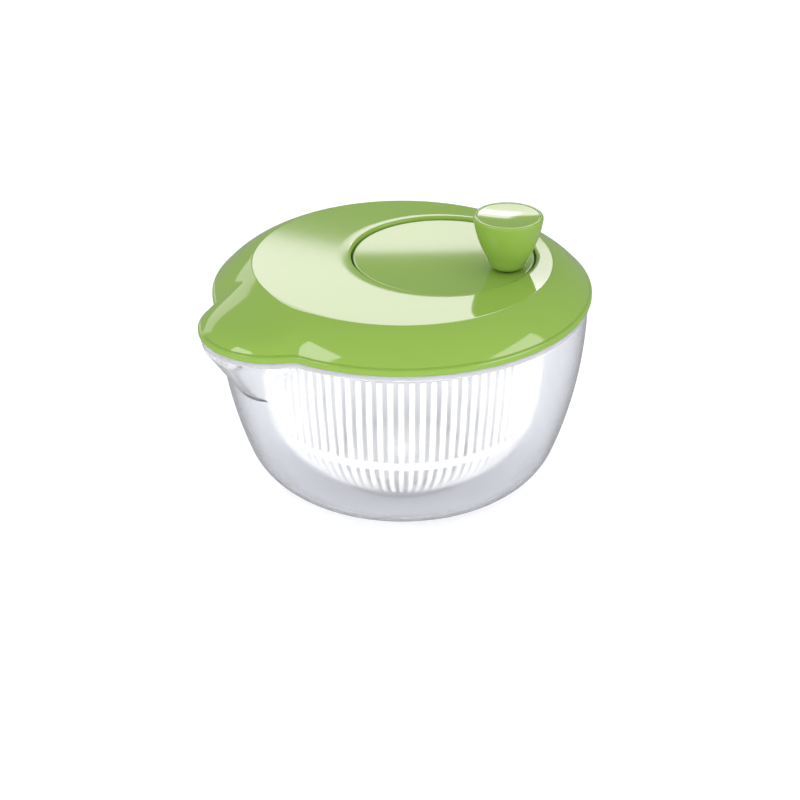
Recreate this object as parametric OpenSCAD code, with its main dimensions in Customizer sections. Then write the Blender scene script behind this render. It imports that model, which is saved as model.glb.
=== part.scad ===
// Crank-driven salad spinner: clear pouring bowl, spinning basket and a domed
// lid with an off-centre crank disc.  Units are millimetres.
// Origin: centre of the bowl's foot on the table.  +Z up, spout toward -X.

/* [Bowl] */
// Height of the bowl's rim above the table
bowl_h = 137.5; // [130:0.5:150]
// Radius of the flat foot
base_r = 68; // [60:1:72]
// Radius of the curve between the foot and the wall
corner_r = 44; // [38:1:50]
// How far the wall leans out where that curve ends, degrees
wall_lean = 20; // [16:1:24]
// Outer radius of the wall just under the rim
bowl_top_r = 127.5; // [126:0.5:128]
// Wall thickness of the bowl
bowl_wall = 2.2; // [1.8:0.1:2.6]
// Distance from the bowl's axis to the middle of the pouring spout
spout_offset = 103.5; // [98:0.5:108]

/* [Lid] */
// Outer radius of the lid
lid_r = 130; // [130:0.5:133]
// Outer radius of the lid's nose over the spout
nose_r = 51; // [48:1:54]
// Radius of the hollow corners where the nose meets the round lid
nose_fillet = 10; // [6:1:14]
// Height of the flat top above the table
plateau_z = 160.5; // [160.5:0.5:163]
// Radius of the flat top
plateau_r = 102.5; // [101:0.5:105]
// Wall thickness of the lid
lid_wall = 2.2; // [2:0.1:2.4]

/* [Crank] */
// Radius of the crank disc
disc_r = 62.4; // [60:0.2:64]
// Direction of the disc's centre from the bowl's axis, degrees
disc_angle = -18; // [-30:1:0]
// Distance from the disc's centre to the knob
knob_arm = 46.5; // [44:0.5:50]
// Where the knob stands on the disc, degrees
knob_angle = -60; // [-75:1:-50]
// Height of the knob above the disc
knob_h = 38.4; // [36:0.2:44]
// Radius of the knob's top
knob_r = 23.9; // [22:0.1:25]

/* [Gears] */
// Tooth size: pitch diameter divided by the number of teeth
gear_module = 1.5; // [1.5]
// Teeth on the ring gear under the crank disc
ring_teeth = 52; // [52]
// Teeth on the pinion that turns the basket
pinion_teeth = 12; // [12]

/* [Basket] */
// Outer radius of the basket under its rim
basket_r = 100; // [97:0.5:101]
// Number of slots round the basket
slots = 88; // [80:2:92]
// Share of the basket's wall that is open
slot_share = 0.52; // [0.45:0.01:0.56]

/* [Hidden] */
$fn = 96;
clear = 0.3;          // gap between parts that pass each other
run_fit = 0.06;       // radial play of a turning pin in its bearing
bite = 0.2;           // overlap that fuses two shapes of one moulding
cut = 1;              // extra length that makes a cut go right through
snug = 0.1;           // gap between fixed parts that fit closely
thrust_gap = 0.4;     // gap over the flanges that carry turning parts
dome_steps = 6;       // steps that draw the lid's arcs

// bowl
wall_arc_r = (bowl_top_r - base_r - corner_r * cos(wall_lean)) / (1 - cos(wall_lean));
wall_arc_z = corner_r + (wall_arc_r - corner_r) * sin(wall_lean);
flange_h = 4;         // height of the rim flange
flange_in = 1.4;      // how far the flange stands in from the lid's edge
foot_recess = 0.6;    // depth of the groove under the foot
foot_ring_w = 7;      // width of the ring that the bowl stands on
foot_groove_w = 12;
spout_wall_r = nose_r - bowl_wall;
spout_straight = 7.5; // height of the upright part of the spout's wall
spout_taper = 0.68;   // how fast the spout narrows downward
spout_depth = 43.5;   // from the rim to the underside of the spout
pin_r = 3;
pin_top = 16;
pin_tip_r = 1.25 * pin_r;
pin_boss_r = 8;
pin_boss_foot_r = 12;
pin_boss_top = 7;

// lid
lip_h = 5;            // height of the lid's edge
step_r = 2;           // how far the dome stands in from the edge
step_h = 0.5;         // height of the small step between the edge and the dome
step_z = bowl_h + lip_h + step_h;
shoulder_slope = 19;  // downward slope where the shoulder leaves the flat top
nose_top_z = plateau_z - 1.5;
skirt_in = 5.1;       // skirt inside the bowl, measured in from the lid's edge
skirt_h = 3.8;
skirt_t = 1.8;
well_wall = 2.2;

// gears
pinion_pitch_r = gear_module * pinion_teeth / 2;
ring_pitch_r = gear_module * ring_teeth / 2;
disc_offset = ring_pitch_r - pinion_pitch_r;
pressure_angle = 20;
backlash = 0.15;      // thinning of each tooth flank
ring_addendum = 0.6 * gear_module;
tooth_clear = 0.4;
pinion_tip_r = pinion_pitch_r + gear_module;
pinion_root_r = pinion_pitch_r - ring_addendum - tooth_clear;
ring_tip_r = ring_pitch_r - ring_addendum;
ring_root_r = ring_pitch_r + gear_module + tooth_clear;
flank_steps = 4;

// gear housing, from the bottom up
cover_z = 144.8;      // underside of the gear cover plate
cover_t = 2.2;
cover_top = cover_z + cover_t;
cover_r = 75;
cover_screw_arm = 70.5;
cover_screw_turn = 45;
cover_screws = 4;
screw_r = 1.25;       // thread radius of the cover and ring gear screws
screw_hole_r = 1.7;
screw_head_r = 2.8;
screw_head_h = 1.8;
screw_l = 10;
screw_post_r = 4;
well_r = disc_r + 1.2;
flange_t = 0.8;       // thickness of the bearing flanges
bush_l = 4;           // length of each bearing of the drive shaft
bush_flange_w = 1.5;
ring_z = cover_top + 1;
ring_h = 6.5;
ring_r = 44.5;
ring_screw_arm = 44;
ring_ear_r = 4;
ring_screws = 3;
ring_turn = 0;        // keeps the ears away from the knob
sunk_r = 2.3;         // recess for each screw head of the ring gear
sunk_h = 1.6;
pinion_z = cover_top + flange_t + clear;
pinion_h = 5.5;

// crank disc
disc_z = plateau_z - 2;
disc_t = 2.2;
disc_dish = 1.7;      // depth of the dish in the disc's top
dish_r = (disc_r * disc_r + disc_dish * disc_dish) / (2 * disc_dish);
dish_angle = asin((disc_r + cut / 2) / dish_r);
disc_low = disc_z - disc_dish;
root_z = disc_low - 1;            // where the hub, posts and axle end inside the disc
ring_screw_top = disc_low - 0.6;
hub_r = 8;
hub_z = cover_top + flange_t + thrust_gap;
axle_r = 4;
axle_boss_z = 141;
axle_low = 138.2;
axle_bush_r = 6;
axle_boss_r = 9;
washer_t = 0.7;
washer_w = 3;
clip_t = 0.9;
clip_w = 1.8;
clip_z = axle_boss_z - snug - washer_t - clip_t;
groove_d = 0.9;       // depth of the groove that holds the clip

// knob
knob_z = disc_z - disc_dish + disc_dish * pow(knob_arm / disc_r, 2);
knob_top = knob_z + knob_h;
knob_neck_r = 6;
knob_waist_r = 14;
knob_swell = 12;      // half the angle that the knob's side turns through
knob_hollow_z = 14.5; // floor of the hollow in the knob, above its foot
knob_hollow_r = 13;
stub_r = 4.2;
stub_top = knob_z + 14;
spindle_r = 2;
spindle_low = disc_low - 0.8;
knob_post_r = 5.5;
knob_post_top = knob_z + 24;
spindle_top = knob_post_top + 1;
knob_washer_r = 4.6;
knob_screw_r = 0.9;
knob_screw_l = 6;
knob_screw_head_r = 3.4;
knob_screw_head_h = 1.6;
cap_r = knob_r - 2.6;
cap_t = 2.4;
cap_ledge = 1.5;      // ledge that the cap rests on
cap_z = knob_top - cap_t;

// shaft and spin plate
shaft_r = 3;
shaft_bush_r = 5;
shaft_boss_r = 8;
shaft_boss_z = 138.2;
shaft_low = 130.5;
plate_z = 133.8;
plate_t = 2.2;
plate_r = 97.5;
plate_hub_r = 9;
plate_hub_top = shaft_boss_z - flange_t - thrust_gap;
plate_skirt_r = 96;
plate_skirt_t = 2;
plate_skirt_h = 4;
plate_washer_r = 6;
plate_washer_t = 1;
plate_screw_r = 1.2;
plate_screw_l = 9;
lugs = 4;             // lugs under the plate that turn the basket by its notches
lug_w = 7;
lug_l = 7;
notch_w = 8;
notch_step = 0.5;     // each lug stays this far above the bottom of its notch

// basket
basket_wall = 2;
basket_z = 8;
basket_top = 132.5;
basket_base_r = 38;
basket_corner_r = 58;
basket_lean = 8;
basket_arc_r = (basket_r - basket_base_r - basket_corner_r * cos(basket_lean))
    / (1 - cos(basket_lean));
basket_arc_z = basket_z + basket_corner_r + (basket_arc_r - basket_corner_r) * sin(basket_lean);
basket_rim_r = basket_r + 4;
basket_rim_h = 3;
slot_in_r = 46;
slot_top = 121;
band_z = 49;
band_h = 6;
basket_hub_r = 8.5;
basket_hub_top = 20;
bush_r = 5.5;
bush_top = 18;

clear_plastic = [0.86, 0.88, 0.93, 0.35];
white_plastic = [0.95, 0.95, 0.96];
green = [0.55, 0.74, 0.33];
steel = [0.75, 0.76, 0.78];
bearing_white = [0.9, 0.89, 0.85];

// ---- placing helpers ----

module at_disc() {
    rotate(disc_angle) translate([disc_offset, 0, 0]) rotate(-disc_angle) children();
}

module at_knob() {
    at_disc() rotate(knob_angle) translate([knob_arm, 0, 0]) children();
}

module ring_of(count, radius, turn = 0) {
    for (i = [0:count - 1]) {
        rotate(turn + i * 360 / count) translate([radius, 0, 0]) children();
    }
}

module rod(radius, bottom, top) {
    translate([0, 0, bottom]) cylinder(r = radius, h = top - bottom);
}

module tube(outer, inner, bottom, top) {
    difference() {
        rod(outer, bottom, top);
        rod(inner, bottom - cut, top + cut);
    }
}

// ---- outlines ----

// Round lid with the pouring nose, moved inward all round by inset.
module pour_outline(inset) {
    big = lid_r - inset;
    small = nose_r - inset;
    hollow = nose_fillet + inset;
    a = big + hollow;
    b = small + hollow;
    x = (a * a - b * b + spout_offset * spout_offset) / (2 * spout_offset);
    y = sqrt(a * a - x * x);
    circle(big);
    translate([-spout_offset, 0]) circle(small);
    for (side = [-1, 1]) {
        difference() {
            polygon([[0, 0], [-spout_offset, 0], [-x, side * y]]);
            translate([-x, side * y]) circle(hollow);
        }
    }
}

// Points along an arc, from angle a1 to angle a2.
function arc(centre, radius, a1, a2, steps) =
    [for (i = [0:steps])
        let (a = a1 + (a2 - a1) * i / steps)
        centre + radius * [cos(a), sin(a)]];

// Half section of a filled bowl: flat foot, small arc, then a long arc that ends upright.
// steps is how many straight steps draw each of the two arcs.
module vessel_half(foot_r, small_r, small_z, long_r, long_z, lean, inset, top, steps) {
    long_x = foot_r + (small_r - long_r) * cos(lean);
    end = asin((top - long_z) / (long_r - inset));
    polygon(concat(
        [[0, top], [0, small_z - small_r + inset]],
        arc([foot_r, small_z], small_r - inset, -90, -lean, steps[0]),
        arc([long_x, long_z], long_r - inset, -lean, end, steps[1])
    ));
}

module bowl_half(inset) {
    vessel_half(base_r, corner_r, corner_r, wall_arc_r, wall_arc_z, wall_lean, inset, bowl_h,
        [8, 5]);
}

module basket_half(inset) {
    vessel_half(basket_base_r, basket_corner_r, basket_z + basket_corner_r, basket_arc_r,
        basket_arc_z, basket_lean, inset, basket_top, [4, 1]);
}

// Half section of a dome: flat to top_r, then one arc down to edge_r, moved inward by inset.
module dome_half(top_r, top_z, edge_r, slope, inset) {
    drop = top_z - step_z;
    run = edge_r - top_r;
    fall = atan2(drop, run);
    arc_r = norm([run, drop]) / (2 * sin(fall - slope));
    centre = [top_r, top_z] - arc_r * [sin(slope), cos(slope)];
    polygon(concat(
        [[0, bowl_h], [0, top_z - inset]],
        arc(centre, arc_r - inset, 90 - slope, 90 + slope - 2 * fall, dome_steps),
        [[edge_r - inset, bowl_h]]
    ));
}

// ---- bowl ----

// The spout's cone, moved inward all round by inset, its floor included.
module spout_body(inset) {
    radius = spout_wall_r - inset;
    bend_z = bowl_h - spout_straight;
    floor_z = bowl_h - spout_depth + inset;
    translate([-spout_offset, 0, 0]) {
        rod(radius, bend_z, bowl_h);
        translate([0, 0, floor_z]) {
            cylinder(r1 = radius - spout_taper * (bend_z - floor_z), r2 = radius,
                h = bend_z - floor_z);
        }
    }
}

module bowl() color(clear_plastic) {
    difference() {
        union() {
            rotate_extrude() bowl_half(0);
            spout_body(0);
            translate([0, 0, bowl_h - flange_h]) linear_extrude(flange_h) pour_outline(flange_in);
        }
        rotate_extrude() bowl_half(bowl_wall);
        spout_body(bowl_wall);
        translate([0, 0, bowl_h - flange_h]) {
            linear_extrude(flange_h + cut) pour_outline(lid_r - bowl_top_r + bowl_wall);
        }
        tube(base_r - foot_ring_w, base_r - foot_ring_w - foot_groove_w, -cut, foot_recess);
    }
    difference() {
        translate([0, 0, foot_recess + bite]) {
            cylinder(r1 = pin_boss_foot_r, r2 = pin_boss_r, h = pin_boss_top - foot_recess - bite);
        }
        rod(pin_r, bowl_wall, pin_boss_top + cut);
    }
}

module bowl_pin() color(steel) {
    rod(pin_r, bowl_wall, pin_top - pin_r / 2);
    intersection() {
        translate([0, 0, pin_top - pin_tip_r]) sphere(pin_tip_r);
        rod(pin_r, pin_top - pin_r / 2 - bite, pin_top);
    }
}

// ---- basket ----

module basket_shell() {
    difference() {
        union() {
            rotate_extrude() basket_half(0);
            rod(basket_rim_r, basket_top - basket_rim_h, basket_top);
        }
        rotate_extrude() basket_half(basket_wall);
        rod(basket_r - basket_wall, basket_top - basket_rim_h, basket_top + cut);
    }
}

// Slots that widen outward, so that the ribs between them taper toward the middle.
module basket_slots(bottom, top) {
    half = slot_share * 180 / slots;
    near = slot_in_r * [cos(half), sin(half)];
    far = (basket_rim_r + cut) * [cos(half), sin(half)];
    ring_of(slots, 0) {
        translate([0, 0, bottom]) linear_extrude(top - bottom) {
            polygon([near, far, [far[0], -far[1]], [near[0], -near[1]]]);
        }
    }
}

module basket() color(white_plastic) {
    difference() {
        basket_shell();
        basket_slots(0, band_z);
        basket_slots(band_z + band_h, slot_top);
        ring_of(lugs, basket_r - 2 * basket_wall) {
            translate([0, -notch_w / 2, basket_top - basket_rim_h + notch_step]) {
                cube([3 * basket_rim_h, notch_w, basket_rim_h]);
            }
        }
        rod(bush_r + run_fit, 0, bush_top + run_fit);
    }
    difference() {
        rod(basket_hub_r, basket_z + bite, basket_hub_top);
        rod(bush_r + run_fit, 0, bush_top + run_fit);
    }
}

module basket_bush() color(bearing_white) {
    difference() {
        rod(bush_r, basket_z, bush_top);
        rod(pin_r + run_fit, 0, pin_top + snug);
    }
}

// ---- lid ----

module lid_skin(inset) {
    rotate_extrude() {
        dome_half(plateau_r, plateau_z, lid_r - step_r, shoulder_slope, inset);
    }
    translate([-spout_offset, 0, 0]) {
        rotate_extrude() dome_half(0, nose_top_z, nose_r - step_r, 0, inset);
    }
}

module lid_shell() color(green) {
    difference() {
        union() {
            lid_skin(0);
            translate([0, 0, bowl_h]) linear_extrude(lip_h) pour_outline(0);
            translate([0, 0, bowl_h - skirt_h]) {
                linear_extrude(skirt_h + bite) pour_outline(skirt_in);
            }
        }
        intersection() {
            lid_skin(lid_wall);
            translate([0, 0, bowl_h]) {
                linear_extrude(plateau_z - bowl_h) pour_outline(skirt_in + skirt_t);
            }
        }
        translate([0, 0, bowl_h - skirt_h - cut]) {
            linear_extrude(skirt_h + 2 * cut) pour_outline(skirt_in + skirt_t);
        }
        at_disc() rod(well_r, bowl_h, plateau_z + cut);
    }
    at_disc() {
        tube(well_r + well_wall, well_r, cover_top, plateau_z - lid_wall + bite);
        ring_of(cover_screws, cover_screw_arm, cover_screw_turn) {
            tube(screw_post_r, screw_r, cover_top, plateau_z - lid_wall + bite);
        }
    }
}

// ---- gear housing ----

module gear_cover() color(white_plastic) {
    difference() {
        union() {
            at_disc() rod(cover_r, cover_z, cover_top);
            at_disc() rod(axle_boss_r, axle_boss_z, cover_top);
            rod(shaft_boss_r, shaft_boss_z, cover_top);
        }
        at_disc() rod(axle_bush_r, axle_boss_z - cut, cover_top + cut);
        rod(shaft_bush_r, shaft_boss_z - cut, cover_top + cut);
        at_disc() ring_of(cover_screws, cover_screw_arm, cover_screw_turn) {
            rod(screw_hole_r, cover_z - cut, cover_top + cut);
        }
    }
}

// Screw driven upward, its head under z and its thread above.
module screw_up(radius, head_r, head_h, z, length) {
    rod(head_r, z - head_h, z);
    rod(radius, z - bite, z + length);
}

module gear_cover_screws() color(steel) {
    at_disc() ring_of(cover_screws, cover_screw_arm, cover_screw_turn) {
        screw_up(screw_r, screw_head_r, screw_head_h, cover_z, screw_l);
    }
}

module crank_bushing() color(bearing_white) {
    at_disc() difference() {
        union() {
            rod(axle_bush_r, axle_boss_z, cover_top + bite);
            rod(hub_r, cover_top, cover_top + flange_t);
        }
        rod(axle_r + run_fit, axle_boss_z - cut, cover_top + 2 * cut);
    }
}

module upper_bushing() color(bearing_white) {
    difference() {
        union() {
            rod(shaft_bush_r, cover_top - bush_l, cover_top + bite);
            rod(shaft_bush_r + bush_flange_w, cover_top, cover_top + flange_t);
        }
        rod(shaft_r + run_fit, cover_top - bush_l - cut, cover_top + 2 * cut);
    }
}

module lower_bushing() color(bearing_white) {
    difference() {
        union() {
            rod(shaft_bush_r, shaft_boss_z - bite, shaft_boss_z + bush_l);
            rod(shaft_bush_r + bush_flange_w, shaft_boss_z - flange_t, shaft_boss_z);
        }
        rod(shaft_r + run_fit, shaft_boss_z - 2 * cut, shaft_boss_z + bush_l + cut);
    }
}

// ---- gears ----

function involute_angle(base, r) = sqrt(pow(r / base, 2) - 1) * 180 / PI - acos(base / r);

// One side of a tooth: points from r1 to r2, half an angle from the tooth's middle.
function flank(pitch, teeth, thin, r1, r2, side) =
    let (base = pitch * cos(pressure_angle),
         half = 90 / teeth + involute_angle(base, pitch) + thin)
    [for (i = [0:flank_steps])
        let (r = r1 + (r2 - r1) * i / flank_steps,
             a = side * (half - involute_angle(base, max(r, base))))
        [r * cos(a), r * sin(a)]];

function turned(p, a) = [p[0] * cos(a) - p[1] * sin(a), p[0] * sin(a) + p[1] * cos(a)];

// Outline of a whole gear: every tooth goes root, flank up, flank down.
function gear_points(pitch, teeth, thin, root, tip) =
    [for (t = [0:teeth - 1])
        for (p = concat(flank(pitch, teeth, thin, root, tip, -1),
                        flank(pitch, teeth, thin, tip, root, 1)))
            turned(p, t * 360 / teeth)];

module ring_gear() color(white_plastic) {
    thin = backlash / ring_pitch_r * 180 / PI;
    at_disc() difference() {
        union() {
            rod(ring_r, ring_z, ring_z + ring_h);
            ring_of(ring_screws, ring_screw_arm, ring_turn) rod(ring_ear_r, ring_z, ring_z + ring_h);
        }
        translate([0, 0, ring_z - cut]) linear_extrude(ring_h + 2 * cut) {
            rotate(disc_angle + 180) {
                polygon(gear_points(ring_pitch_r, ring_teeth, thin, ring_tip_r, ring_root_r));
            }
        }
        ring_of(ring_screws, ring_screw_arm, ring_turn) {
            rod(screw_r, ring_z - cut, ring_z + ring_h + cut);
            rod(sunk_r, ring_z - cut, ring_z + sunk_h);
        }
    }
}

module drive_pinion() color(white_plastic) {
    thin = -backlash / pinion_pitch_r * 180 / PI;
    translate([0, 0, pinion_z]) difference() {
        linear_extrude(pinion_h) rotate(disc_angle + 180) {
            polygon(gear_points(pinion_pitch_r, pinion_teeth, thin, pinion_root_r, pinion_tip_r));
        }
        rod(shaft_r, -cut, pinion_h + cut);
    }
}

// ---- crank ----

module crank_disc() color(green) {
    difference() {
        union() {
            at_disc() {
                difference() {
                    rod(disc_r, disc_low - disc_t, disc_z);
                    rotate_extrude() {
                        polygon(concat(
                            [[0, disc_z + cut]],
                            arc([0, disc_low + dish_r], dish_r, -90, -90 + dish_angle, dome_steps),
                            [[disc_r + 2 * cut, disc_z + cut]]
                        ));
                    }
                }
                rod(hub_r, hub_z, root_z);
                ring_of(ring_screws, ring_screw_arm, ring_turn) {
                    rod(ring_ear_r, ring_z + ring_h, root_z);
                }
            }
            at_knob() rod(stub_r, root_z, stub_top);
        }
        at_disc() {
            rod(axle_r, hub_z - cut, root_z);
            ring_of(ring_screws, ring_screw_arm, ring_turn) {
                rod(screw_r, ring_z + ring_h - cut, ring_screw_top);
            }
        }
        at_knob() rod(spindle_r, spindle_low, stub_top + cut);
    }
}

module ring_gear_screws() color(steel) {
    at_disc() ring_of(ring_screws, ring_screw_arm, ring_turn) {
        rod(sunk_r - snug, ring_z + snug, ring_z + sunk_h);
        rod(screw_r, ring_z + sunk_h - bite, ring_screw_top);
    }
}

module crank_axle() color(steel) {
    at_disc() difference() {
        rod(axle_r, axle_low, root_z);
        tube(axle_r + cut, axle_r - groove_d, clip_z, clip_z + clip_t);
    }
}

module axle_washer() color(steel) {
    at_disc() tube(axle_r + washer_w, axle_r + snug, clip_z + clip_t, clip_z + clip_t + washer_t);
}

module axle_clip() color(steel) {
    at_disc() difference() {
        tube(axle_r + clip_w, axle_r - groove_d, clip_z, clip_z + clip_t);
        translate([0, -axle_r / 2, clip_z - cut]) cube([3 * axle_r, axle_r, 3 * cut]);
    }
}

// ---- knob ----

module knob_spindle() color(steel) {
    at_knob() difference() {
        rod(spindle_r, spindle_low, spindle_top);
        rod(knob_screw_r, spindle_top - knob_screw_l, spindle_top + cut);
    }
}

// Half section of the knob: a small round foot, then a swelling side up to the rim.
module knob_half() {
    foot_arc = knob_waist_r - knob_neck_r;
    side = [knob_r - knob_waist_r, knob_h - foot_arc];
    lean = atan2(side[0], side[1]);
    side_r = norm(side) / (2 * sin(knob_swell));
    centre = [knob_r, knob_h] - side_r * [cos(knob_swell - lean), sin(knob_swell - lean)];
    polygon(concat(
        [[0, knob_h], [0, 0]],
        arc([knob_neck_r, foot_arc], foot_arc, -90, 0, 5),
        arc(centre, side_r, -knob_swell - lean, knob_swell - lean, 6)
    ));
}

module knob_body() color(green) {
    at_knob() difference() {
        translate([0, 0, knob_z + clear]) rotate_extrude() knob_half();
        difference() {
            translate([0, 0, knob_z + knob_hollow_z]) {
                cylinder(r1 = knob_hollow_r, r2 = cap_r - cap_ledge,
                    h = cap_z - knob_z - knob_hollow_z + bite);
            }
            rod(knob_post_r, knob_z, knob_post_top);
        }
        rod(cap_r + snug, cap_z, knob_top + cut);
        rod(stub_r + run_fit, knob_z, stub_top + clear);
        rod(spindle_r + run_fit, knob_z, knob_top);
    }
}

module knob_cap() color(green) {
    at_knob() rod(cap_r, cap_z, knob_top);
}

module knob_washer() color(steel) {
    bottom = knob_post_top + snug;
    at_knob() tube(knob_washer_r, spindle_r + snug, bottom, bottom + washer_t);
}

module knob_screw() color(steel) {
    at_knob() {
        rod(knob_screw_head_r, spindle_top, spindle_top + knob_screw_head_h);
        rod(knob_screw_r, spindle_top - knob_screw_l, spindle_top + bite);
    }
}

// ---- shaft and spin plate ----

module drive_shaft() color(steel) {
    difference() {
        rod(shaft_r, shaft_low, pinion_z + pinion_h);
        rod(plate_screw_r, shaft_low - cut, shaft_low + plate_screw_l);
    }
}

module spin_plate() color(white_plastic) {
    lug_z = basket_top - basket_rim_h + 2 * notch_step;
    difference() {
        union() {
            rod(plate_r, plate_z, plate_z + plate_t);
            rod(plate_hub_r, shaft_low, plate_hub_top);
            tube(plate_skirt_r, plate_skirt_r - plate_skirt_t, basket_top - plate_skirt_h,
                plate_z + bite);
            ring_of(lugs, plate_skirt_r - 1) {
                translate([0, -lug_w / 2, lug_z]) cube([lug_l, lug_w, plate_z + plate_t - lug_z]);
            }
        }
        rod(shaft_r, shaft_low - cut, plate_hub_top + cut);
    }
}

module plate_washer() color(steel) {
    tube(plate_washer_r, plate_screw_r + 2 * snug, shaft_low - plate_washer_t, shaft_low);
}

module plate_screw() color(steel) {
    seat_z = shaft_low - plate_washer_t;
    screw_up(plate_screw_r, screw_head_r, screw_head_h, seat_z, plate_screw_l + plate_washer_t);
}

bowl();
bowl_pin();
basket();
basket_bush();
lid_shell();
gear_cover();
gear_cover_screws();
crank_bushing();
upper_bushing();
lower_bushing();
crank_disc();
ring_gear();
ring_gear_screws();
crank_axle();
axle_washer();
axle_clip();
knob_spindle();
knob_washer();
knob_screw();
knob_body();
knob_cap();
drive_shaft();
drive_pinion();
spin_plate();
plate_washer();
plate_screw();
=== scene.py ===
"""Salad spinner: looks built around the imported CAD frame.  Metres, +Z up, spout toward -X."""

import math

import bpy
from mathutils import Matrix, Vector


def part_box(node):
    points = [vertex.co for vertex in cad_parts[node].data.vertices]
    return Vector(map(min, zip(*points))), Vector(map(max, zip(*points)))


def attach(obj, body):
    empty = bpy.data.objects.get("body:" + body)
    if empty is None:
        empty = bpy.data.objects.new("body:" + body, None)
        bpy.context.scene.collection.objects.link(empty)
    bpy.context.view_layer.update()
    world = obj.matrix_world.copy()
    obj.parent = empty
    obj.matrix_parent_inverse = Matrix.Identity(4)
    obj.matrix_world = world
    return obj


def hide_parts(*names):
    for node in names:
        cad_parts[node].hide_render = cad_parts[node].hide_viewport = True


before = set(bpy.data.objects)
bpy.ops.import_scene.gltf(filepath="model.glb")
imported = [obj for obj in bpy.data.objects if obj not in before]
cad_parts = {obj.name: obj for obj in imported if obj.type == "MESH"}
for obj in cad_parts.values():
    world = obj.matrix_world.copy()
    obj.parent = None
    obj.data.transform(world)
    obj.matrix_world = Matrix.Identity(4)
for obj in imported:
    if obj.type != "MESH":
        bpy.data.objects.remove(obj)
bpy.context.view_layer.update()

MM = 0.001


def middle(node):
    """The middle of a CAD node, seen from above."""
    low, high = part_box(node)
    return Vector(((low[0] + high[0]) / 2, (low[1] + high[1]) / 2))


# ---- sizes, in metres ----
# Insets are measured in from the lid's outline, and heights up from the table.

SPOUT_OFFSET = 103.5 * MM     # bowl's axis to the middle of the pouring spout
LID_R = 130 * MM
NOSE_R = 51 * MM
NOSE_HOLLOW = 10 * MM         # hollow corner between the nose and the round lid
NOSE_BLEND = 20 * MM          # how far past the round lid the nose takes its own slope
NOSE_EVEN = 0.78              # share of the nose's drop that is a straight slope
NOSE_TURN = 8                 # how late the rest of the drop comes, as a power
RIM_Z = 137.5 * MM            # top of the bowl's rim, under the lid's edge
PLATEAU_Z = 160.5 * MM
PLATEAU_R = 102.5 * MM
STEP_IN = 2 * MM              # the dome stands in from the lid's edge
STEP_Z = 143 * MM
GROOVE_IN = 2.5 * MM          # groove between the dome and the bead round the edge
GROOVE_Z = 142.4 * MM
BEAD_IN = 0.8 * MM
BEAD_TOP = 142 * MM
BEAD_SIDE_TOP = 141 * MM
BEAD_SIDE_LOW = 138.6 * MM
BEAD_FOOT_IN = 0.9 * MM
SHOULDER_SLOPE = math.radians(19)
LID_WALL = 2.2 * MM
SKIRT_IN = 5.1 * MM
SKIRT_T = 1.8 * MM
SKIRT_LOW = 133.7 * MM
WELL_R = 63.6 * MM
WELL_LOW = 147 * MM
WELL_LIP = 2.4 * MM           # rounding where the flat top turns down into the well

DISC_CENTRE = middle("crank_disc")
DISC_R = 62.4 * MM
DISC_Z = 158.5 * MM
DISC_DISH = 1.7 * MM
DISC_T = 2.2 * MM
DISC_LAND = 1.2 * MM          # level ring outside the dish
HUB_R = 8 * MM
HUB_BORE_R = HUB_R / 2
HUB_Z = 148.2 * MM
KNOB_CENTRE = middle("knob_body")
KNOB_ARM = (KNOB_CENTRE - DISC_CENTRE).length
KNOB_H = 38.4 * MM
KNOB_R = 23.9 * MM
KNOB_WAIST_R = 14 * MM
KNOB_NECK_R = 6 * MM
KNOB_SWELL = math.radians(12)
KNOB_FOOT_END = math.radians(24)
KNOB_SIDE_TRIM = math.radians(2)
KNOB_GAP = 0.3 * MM           # between the knob's foot and the disc
KNOB_RIM = 2.6 * MM           # rim left round the cap
KNOB_CAP_T = 2.4 * MM
KNOB_BORE_R = 4.3 * MM
KNOB_HOLLOW_R = 6 * MM
KNOB_HOLLOW = 18 * MM
CAP_FIT = 0.1 * MM
CAP_DISH = 1.1 * MM
CAP_FACE = 0.97               # share of the cap's radius that the dish takes
STUB_R = 4.2 * MM
STUB_TOP = 171 * MM

BASE_R = 68 * MM
CORNER_R = 44 * MM
WALL_LEAN = math.radians(20)
BOWL_TOP_R = 127.5 * MM
BOWL_WALL = 2.2 * MM
FLANGE_IN = 1.4 * MM
FLANGE_H = 4 * MM
SPOUT_STRAIGHT = 7.5 * MM
SPOUT_TAPER = 0.68
SPOUT_DEPTH = 43.5 * MM       # from the rim to the underside of the spout
SPOUT_ROUND = 5 * MM          # how far the spout's floor is rounded in
SPOUT_TOP_R = 48.8 * MM
SPOUT_CORNER = 6 * MM         # hollow corner between the spout and the bowl's wall
FOOT_RING_IN_R = 49 * MM      # shallow ring groove under the foot
FOOT_RING_OUT_R = 61 * MM
FOOT_GROOVE = 0.6 * MM
BOSS_FOOT_R = 12 * MM
BOSS_R = 8 * MM
BOSS_TOP = 7 * MM
PIN_HOLE_R = 3.05 * MM
EDGE_LOOP = 0.4 * MM          # a flat keeps its even shine when a loop this near stands by its edge
HAZE_FROM = 0.7 * MM          # the flange's lower edge stays clear and shows as a thin line

BASKET_R = 100 * MM
BASKET_Z = 8 * MM
BASKET_TOP = 132.5 * MM
BASKET_BASE_R = 38 * MM
BASKET_CORNER_R = 58 * MM
BASKET_LEAN = math.radians(8)
BASKET_WALL = 2 * MM
RIBS = 88
RIB_SHARE = 0.48              # how much of the wall the ribs fill
SLOT_IN_R = 46 * MM
SLOT_TOP = 121 * MM
BAND_Z = 49 * MM
BAND_H = 6 * MM
BASKET_HUB_R = 8.5 * MM
BASKET_HUB_FOOT_R = 12 * MM
BASKET_HUB_TOP = 20 * MM
BUSH_HOLE_R = 5.56 * MM
BUSH_HOLE_TOP = 18.1 * MM
BASKET_LIP = 4 * MM           # flange round the basket's rim
BASKET_LIP_T = 3 * MM

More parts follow.
